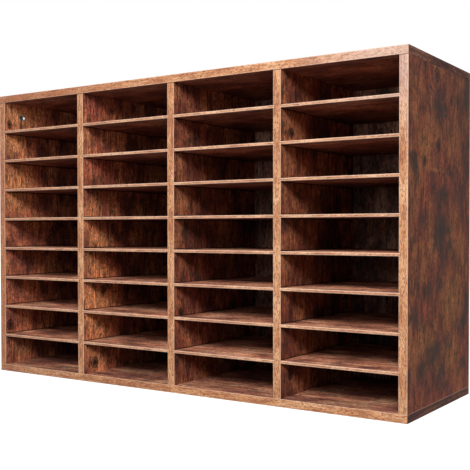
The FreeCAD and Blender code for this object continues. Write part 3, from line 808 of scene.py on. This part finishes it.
@dataclass
class EdgeBands:
    """The bands on the front edges of the seven case boards, notched where a shelf's end runs in."""

    notch_depth: float = 3.0
    notch_height: float = 6.0
    arris: float = 0.5
    arris_steps: int = 3
    smooth_angle: float = math.radians(40.0)
    # Width of the dark line of painted shade where the uprights' bands meet the top panel's band.
    joint_line: float = 1.5

    def sheet(self, low: Vector, high: Vector) -> Piece:
        """Lays a flat strip in the plane of the case's front.

        Args:
            low: the band's lowest corner, in mm.
            high: the band's highest corner, in mm.

        Returns:
            The strip.
        """
        bpy.ops.object.select_all(action="DESELECT")
        middle = (low + high) / 2 * MM
        bpy.ops.mesh.primitive_plane_add(size=1.0, location=(middle.x, low.y * MM, middle.z),
                                         rotation=(math.pi / 2, 0.0, 0.0))
        strip = bpy.context.active_object
        strip.scale = ((high.x - low.x) * MM, (high.z - low.z) * MM, 1.0)
        bpy.ops.object.transform_apply()
        return strip

    def thicken(self, strip: Piece) -> None:
        """Gives the strip its thickness and rounds its front arrises.

        Args:
            strip: the flat strip, in edit mode.
        """
        bpy.ops.mesh.select_all(action="SELECT")
        bpy.ops.mesh.dissolve_limited(angle_limit=math.radians(1.0))
        bpy.ops.mesh.select_all(action="SELECT")
        extrude(Vector((0.0, BAND_THICKNESS, 0.0)))
        bpy.ops.mesh.select_all(action="SELECT")
        bpy.ops.mesh.normals_make_consistent(inside=False)
        near = (FRONT + BAND_THICKNESS / 2) * MM
        select(strip, "EDGE", lambda start, end: start.y < near and end.y < near)
        bpy.ops.mesh.bevel(offset=self.arris * MM, segments=self.arris_steps, affect="EDGES")
        bpy.ops.object.mode_set(mode="OBJECT")
        bpy.ops.object.shade_smooth_by_angle(angle=self.smooth_angle)

    def cut_notches(self, strip: Piece, low: Vector, high: Vector, sides: tuple[int, ...]) -> None:
        """Cuts the notches of one upright's strip.

        Args:
            strip: the flat strip, in edit mode.
            low: the band's lowest corner, in mm.
            high: the band's highest corner, in mm.
            sides: -1 for notches on the left, 1 for the right.
        """
        floors = [span(f"shelf_col1_row{row}")[0].z for row in range(1, 9)]
        cuts = [(Vector((0.0, 0.0, floor + rise)), Axis.HEIGHT) for floor in floors
                for rise in (0.0, self.notch_height)]
        walls = {side: (low.x if side < 0 else high.x) - side * self.notch_depth for side in sides}
        cuts += [(Vector((wall, 0.0, 0.0)), Axis.WIDTH) for wall in walls.values()]
        for place, axis in cuts:
            bpy.ops.mesh.select_all(action="SELECT")
            bpy.ops.mesh.bisect(plane_co=place * MM, plane_no=axis.value)

        def in_notch(middle: Vector, _: Vector) -> bool:
            beside = any((middle.x / MM - wall) * side > 0 for side, wall in walls.items())
            return beside and any(0 < middle.z / MM - floor < self.notch_height for floor in floors)

        select(strip, "FACE", in_notch)
        bpy.ops.mesh.delete(type="FACE")

    def build(self) -> None:
        """Makes the seven bands."""
        # Painted shade along the joint under the top panel's band.
        top_joint = Mark((0.0, FRONT, span("top_panel")[0].z), (2 * HALF_WIDTH, 4.0, self.joint_line))
        upright = BandFinish("abs_band_uprights", UPRIGHT, joints=(top_joint,)).build()
        deck = BandFinish("abs_band_decks", DECK).build()
        for name in nodes_named(end="edge_band"):
            low, high = span(name)
            strip = self.sheet(low, high)
            bpy.ops.object.mode_set(mode="EDIT")
            is_deck = high.x - low.x > high.z - low.z
            if not is_deck:
                sides = tuple(side for side, end in ((-1, "left"), (1, "right")) if not name.startswith(end))
                self.cut_notches(strip, low, high, sides)
            self.thicken(strip)
            finish_piece(strip, f"{name}_rounded", deck if is_deck else upright, "edge_band", name)


@dataclass
class Shelves:
    """The thirty-two loose shelves."""

    front_edge: float = 0.9

    def dress(self) -> None:
        """Covers the shelves with the foil and gives their front edges the lighter print."""
        # The shelves' faces that look down get painted shade.
        dress(nodes_named("shelf"),
              BoardFinish("foiled_hardboard_shelves", SHELF, LYING_PRINT, edge=SHELF_EDGE, sawn=False,
                          underside_painted_shade=UNDERSIDE_PAINTED_SHADE, front_edge=self.front_edge).build())


def add_block(low: Vector, high: Vector) -> Piece:
    """Adds a block between two corners, given in mm."""
    bpy.ops.object.select_all(action="DESELECT")
    bpy.ops.mesh.primitive_cube_add(size=1.0, location=(low + high) / 2 * MM)
    block = bpy.context.active_object
    block.scale = (high - low) * MM
    bpy.ops.object.transform_apply()
    return block


def add_round(axis: Axis, middle: Vector, radius: float, length: float, sides: int) -> Piece:
    """Adds a round bar.

    Args:
        axis: the direction of its axis, WIDTH or HEIGHT.
        middle: its middle, in mm.
        radius: its radius, in mm.
        length: its length, in mm.
        sides: how many sides it has.

    Returns:
        The bar.
    """
    bpy.ops.object.select_all(action="DESELECT")
    turn = (0.0, math.pi / 2, 0.0) if axis is Axis.WIDTH else (0.0, 0.0, 0.0)
    bpy.ops.mesh.primitive_cylinder_add(vertices=sides, radius=radius * MM, depth=length * MM,
                                        location=middle * MM, rotation=turn)
    bpy.ops.object.transform_apply()
    return bpy.context.active_object


def copy_piece(piece: Piece, shift: Vector = Vector(), turn: float = 0.0) -> Piece:
    """Copies a piece with a mesh of its own.

    Args:
        piece: the piece.
        shift: how far the copy is moved, in mm.
        turn: how far it is then turned about the middle of the case, in radians.

    Returns:
        The copy, with its place in its mesh.
    """
    bpy.ops.object.select_all(action="DESELECT")
    piece.select_set(True)
    bpy.context.view_layer.objects.active = piece
    bpy.ops.object.duplicate(linked=False)
    copy = bpy.context.active_object
    copy.location = shift * MM
    bpy.ops.object.transform_apply()
    copy.rotation_euler.z = turn
    bpy.ops.object.transform_apply()
    return copy


def place_four(fitting: Piece, y: float, name: str, material: Material, slot: str, node: str) -> None:
    """Repeats a left front fitting at the left rear and, turned half round, on the right.

    Args:
        fitting: the left front fitting.
        y: the Y of its middle, in mm.
        name: what the four are called, before their places.
        material: their finish.
        slot: the record's material slot.
        node: the node that they stand for.
    """
    rear = copy_piece(fitting, Vector((0.0, -2 * y, 0.0)))
    pieces = {"left_front": fitting, "left_rear": rear, "right_front": copy_piece(rear, turn=math.pi),
              "right_rear": copy_piece(fitting, turn=math.pi)}
    for place, piece in pieces.items():
        finish_piece(piece, f"{name}_{place}", material, slot, node)


@dataclass
class CamLocks:
    """The four cam locks: a dished face with a cross recess, and the cavity that grips the bolt's head."""

    length: float = 12.3
    rim: float = 0.9
    dish_depth: float = 2.4
    dish_floor: float = 5.0
    arm_length: float = 6.4
    arm_width: float = 1.4
    cross_depth: float = 1.2
    arris: float = 0.25
    track_radius: float = 5.2
    track_height: float = 7.0
    track_ledge: float = 0.05
    window_width: float = 7.2
    neck_slot: float = 4.2
    neck_play: float = 2.1
    sides: int = 48

    def cast_housing(self, middle: Vector, radius: float) -> Piece:
        """Shapes the housing, its dish and its cross recess, with the face towards +X.

        Args:
            middle: the housing's middle, in mm.
            radius: its radius, in mm.

        Returns:
            The housing.
        """
        lock = add_round(Axis.WIDTH, middle, radius, self.length, self.sides)
        face = middle.x + self.length / 2
        floor = face - self.dish_depth
        bpy.ops.object.mode_set(mode="EDIT")
        select(lock, "FACE", lambda _, normal: normal.x > FACING)
        bpy.ops.mesh.inset(thickness=self.rim * MM)
        extrude(Vector((-self.dish_depth, 0.0, 0.0)))
        shrink = self.dish_floor / (radius - self.rim)
        bpy.ops.transform.resize(value=(1.0, shrink, shrink), center_override=middle * MM)

        def on_floor(place: Vector, normal: Vector) -> bool:
            return normal.x > FACING and abs(place.x / MM - floor) < TOLERANCE

        for axis in (Axis.DEPTH, Axis.HEIGHT):
            for reach in (self.arm_width / 2, self.arm_length / 2):
                for side in (-1, 1):
                    select(lock, "FACE", on_floor)
                    cut = middle + Vector(axis.value) * side * reach
                    bpy.ops.mesh.bisect(plane_co=cut * MM, plane_no=axis.value)

        def in_cross(place: Vector, normal: Vector) -> bool:
            arms = sorted((abs(place.y / MM - middle.y), abs(place.z / MM - middle.z)))
            return on_floor(place, normal) and arms[0] < self.arm_width / 2 and arms[1] < self.arm_length / 2

        select(lock, "FACE", in_cross)
        extrude(Vector((-self.cross_depth, 0.0, 0.0)))

        def on_rim(start: Vector, end: Vector) -> bool:
            return all(abs(abs(tip.x / MM - middle.x) - self.length / 2) < TOLERANCE for tip in (start, end))

        bpy.ops.mesh.select_all(action="DESELECT")
        select(lock, "EDGE", lambda start, end: on_rim(start, end) and abs(
            (start - middle * MM).yz.length - (end - middle * MM).yz.length) < TOLERANCE * MM)
        bpy.ops.mesh.bevel(offset=self.arris * MM, segments=2, affect="EDGES")
        bpy.ops.object.mode_set(mode="OBJECT")
        return lock

    def cut_cavity(self, lock: Piece, middle: Vector, radius: float) -> None:
        """Cuts the cavity, the window by which the bolt's head enters and the slot round its neck.

        The window is a ledge narrower than the track, so that no two cuts share a plane.

        Args:
            lock: the housing.
            middle: its middle, where the bolt's axis meets its own, in mm.
            radius: its radius, in mm.
        """
        half_track = self.track_height / 2 - self.track_ledge
        half_window = self.window_width / 2
        half_slot = self.neck_slot / 2
        outside = radius + 1.0
        cutters = (
            add_round(Axis.WIDTH, middle, self.track_radius, self.track_height, self.sides),
            add_block(middle + Vector((-half_track, -outside, -half_window)),
                      middle + Vector((half_track, self.track_ledge, half_window))),
            add_block(middle + Vector((-half_slot, -outside, 0.0)),
                      middle + Vector((half_slot, self.neck_play, outside))),
        )
        for cutter in cutters:
            cut = lock.modifiers.new("cut", "BOOLEAN")
            cut.object = cutter
            cut.operation = "DIFFERENCE"
            bpy.context.view_layer.objects.active = lock
            bpy.ops.object.modifier_apply(modifier=cut.name)
            bpy.data.objects.remove(cutter)

    def build(self) -> None:
        """Makes one cam lock and copies it to the other three places."""
        low, high = span("cam_locks")
        radius = (high.z - low.z) / 2
        middle = Vector((low.x + self.length / 2, low.y + radius, (low.z + high.z) / 2))
        lock = self.cast_housing(middle, radius)
        self.cut_cavity(lock, middle, radius)
        bpy.ops.object.select_all(action="DESELECT")
        lock.select_set(True)
        bpy.ops.object.shade_smooth_by_angle(angle=SMOOTH_ANGLE)
        place_four(lock, middle.y, "cam_lock", CAST_ZINC.build(), "zinc", "cam_locks")


@dataclass
class BaseScrews:
    """The four countersunk connecting screws under the case."""

    head_radius: float = 5.0
    head_height: float = 2.5
    shank_radius: float = 2.5
    tip: float = 1.5
    tip_taper: float = 0.5
    socket: float = 4.0
    socket_depth: float = 2.2
    arris: float = 0.25
    sides: int = 36

    def build(self, steel: Material) -> None:
        """Makes one screw and copies it to the other three places.

        Args:
            steel: the screws' finish.
        """
        low, high = span("base_screws")
        radius = self.head_radius
        middle = Vector((low.x + radius, low.y + radius, low.z + self.head_height / 2))
        screw = add_round(Axis.HEIGHT, middle, radius, self.head_height, self.sides)
        bpy.ops.object.mode_set(mode="EDIT")
        select(screw, "FACE", lambda _, normal: normal.z > FACING)
        neck = self.shank_radius / radius
        bpy.ops.transform.resize(value=(neck, neck, 1.0), center_override=middle * MM)
        shank = high.z - low.z - self.head_height - self.tip
        extrude(Vector((0.0, 0.0, shank)))
        extrude(Vector((0.0, 0.0, self.tip)))
        bpy.ops.transform.resize(value=(self.tip_taper, self.tip_taper, 1.0), center_override=middle * MM)
        for turn in range(6):
            outward = Vector((math.cos(turn * math.pi / 3), math.sin(turn * math.pi / 3), 0.0))
            select(screw, "FACE", lambda _, normal: normal.z < -FACING)
            cut = middle + outward * self.socket / 2
            bpy.ops.mesh.bisect(plane_co=cut * MM, plane_no=outward)
        select(screw, "FACE", lambda place, normal: (
            normal.z < -FACING and (place - middle * MM).xy.length < self.socket / 4 * MM))
        extrude(Vector((0.0, 0.0, self.socket_depth)))
        select(screw, "EDGE", lambda start, end: all(
            abs((place - middle * MM).xy.length - radius * MM) < TOLERANCE * MM for place in (start, end))
            and abs(start.z - end.z) < TOLERANCE * MM)
        bpy.ops.mesh.bevel(offset=self.arris * MM, segments=2, affect="EDGES")
        bpy.ops.object.mode_set(mode="OBJECT")
        bpy.ops.object.shade_smooth_by_angle(angle=SMOOTH_ANGLE)
        place_four(screw, middle.y, "base_screw", steel, "steel", "base_screws")


@dataclass
class Fittings:
    """Cam locks, cam bolts and connecting screws."""

    def build(self) -> None:
        """Makes the locks and the screws, and dresses the bolts."""
        steel = YELLOW_STEEL.build()
        CamLocks().build()
        BaseScrews().build(steel)
        dress(["cam_bolts"], steel)


@dataclass
class Studio:
    """The floor, the soft lamps and the camera."""

    eye: Triple = (1.03764, -1.42780, 0.31924)
    heading: float = 32.547
    dip: float = 1.139
    focal_pixels: float = 830.763
    principal: Size = (266.551, 247.305)
    picture: float = 470.0
    sensor: float = 36.0
    aim: Triple = (0.0, 0.0, 0.31)
    air: float = 0.115
    cool: Colour = (0.75, 0.95, 1.35, 1.0)
    floor_side: float = 40.0
    floor_drop: float = 0.5
    pale: Colour = (0.5, 0.5, 0.5, 1.0)
    dull: Colour = (0.15, 0.15, 0.15, 1.0)
    glow: float = 0.8
    near: float = 0.9
    far: float = 2.4

    def place_camera(self) -> None:
        """Stands the camera where the whole front and the right side are seen."""
        data = bpy.data.cameras.new("camera")
        data.sensor_width = self.sensor
        data.lens = self.focal_pixels / self.picture * self.sensor
        data.shift_x = (self.picture / 2 - self.principal[0]) / self.picture
        data.shift_y = (self.principal[1] - self.picture / 2) / self.picture
        camera = bpy.data.objects.new("camera", data)
        bpy.context.scene.collection.objects.link(camera)
        camera.location = self.eye
        camera.rotation_euler = (math.radians(90 - self.dip), 0.0, math.radians(self.heading))
        bpy.context.scene.camera = camera

    def add_lamp(self, name: str, place: Triple, side: float, power: float) -> None:
        """Adds a square soft lamp that faces the object's middle.

        Args:
            name: the lamp's name.
            place: where it stands.
            side: its side, in metres.
            power: its power, in watts.
        """
        data = bpy.data.lights.new(name, "AREA")
        data.size = side
        data.energy = power
        lamp = bpy.data.objects.new(name, data)
        lamp.location = place
        lamp.rotation_euler = (Vector(self.aim) - Vector(place)).to_track_quat("-Z", "Y").to_euler()
        bpy.context.scene.collection.objects.link(lamp)

    def light(self) -> None:
        """Lights the object with a soft key lamp, a faint low one, a wide one behind and an even fill."""
        self.add_lamp("key", (1.45, -2.6, 1.85), side=1.0, power=110.0)
        self.add_lamp("low", (0.1, -1.3, 0.65), side=0.5, power=4.0)
        self.add_lamp("rear", (-2.2, 2.0, 1.8), side=1.6, power=69.0)
        world = bpy.data.worlds.new("studio_air")
        world.use_nodes = True
        tree = world.node_tree
        tree.nodes.clear()
        strength = add_node(tree, "MapRange", {"Value": self.seen(tree), "To Min": self.air})["Result"]
        tint = add_node(tree, "Mix", {0: self.seen(tree), 6: self.cool, 7: WHITE}, data_type="RGBA")[2]
        air = add_node(tree, "Background", {"Color": tint, "Strength": strength})
        add_node(tree, "OutputWorld", {"Surface": air["Background"]})
        bpy.context.scene.world = world

    def seen(self, tree: Tree) -> Socket:
        """Tells rays that look at the background from rays that light the object.

        Args:
            tree: the node tree.

        Returns:
            1 for rays from the camera, a mirror or a glass, and 0 for the others.
        """
        path = add_node(tree, "LightPath")
        looks = path["Is Camera Ray"]
        for kind in ("Is Glossy Ray", "Is Transmission Ray"):
            looks = add_node(tree, "Math", {0: looks, 1: path[kind]}, operation="MAXIMUM")["Value"]
        return looks

    def lay_floor(self) -> None:
        """Lays a floor that looks white, with a faint shadow, and throws little light back on the object."""
        bpy.ops.object.select_all(action="DESELECT")
        bpy.ops.mesh.primitive_plane_add(size=self.floor_side, location=(0.0, 0.0, -self.floor_drop * MM))
        floor = bpy.context.active_object
        floor.name = "floor"
        material = bpy.data.materials.new("pale_floor")
        material.use_nodes = True
        tree = material.node_tree
        tree.nodes.clear()
        plain = add_node(tree, "BsdfDiffuse", {"Color": self.pale})["BSDF"]
        dull = add_node(tree, "BsdfDiffuse", {"Color": self.dull})["BSDF"]
        place = add_node(tree, "TexCoord")["Object"]
        away = add_node(tree, "VectorMath", {0: place}, operation="LENGTH")["Value"]
        strength = add_node(tree, "MapRange", {
            "Value": away, "From Min": self.near, "From Max": self.far, "To Min": self.glow})["Result"]
        glow = add_node(tree, "Emission", {"Color": WHITE, "Strength": strength})
        white = add_node(tree, "AddShader", {0: plain, 1: glow["Emission"]})["Shader"]
        mix = add_node(tree, "MixShader", {0: self.seen(tree), 1: dull, 2: white})
        add_node(tree, "OutputMaterial", {"Surface": mix["Shader"]})
        floor.data.materials.append(material)


def main() -> None:
    """Makes and dresses the sorter, sub-assembly by sub-assembly, and sets up the studio."""
    logging.basicConfig(level=logging.INFO, format="%(message)s")
    bpy.context.scene.view_settings.view_transform = "Standard"
    studio = Studio()
    studio.place_camera()
    studio.light()
    studio.lay_floor()
    CaseBoards().dress()
    EdgeBands().build()
    Shelves().dress()
    Fittings().build()


if __name__ == "__main__":
    main()
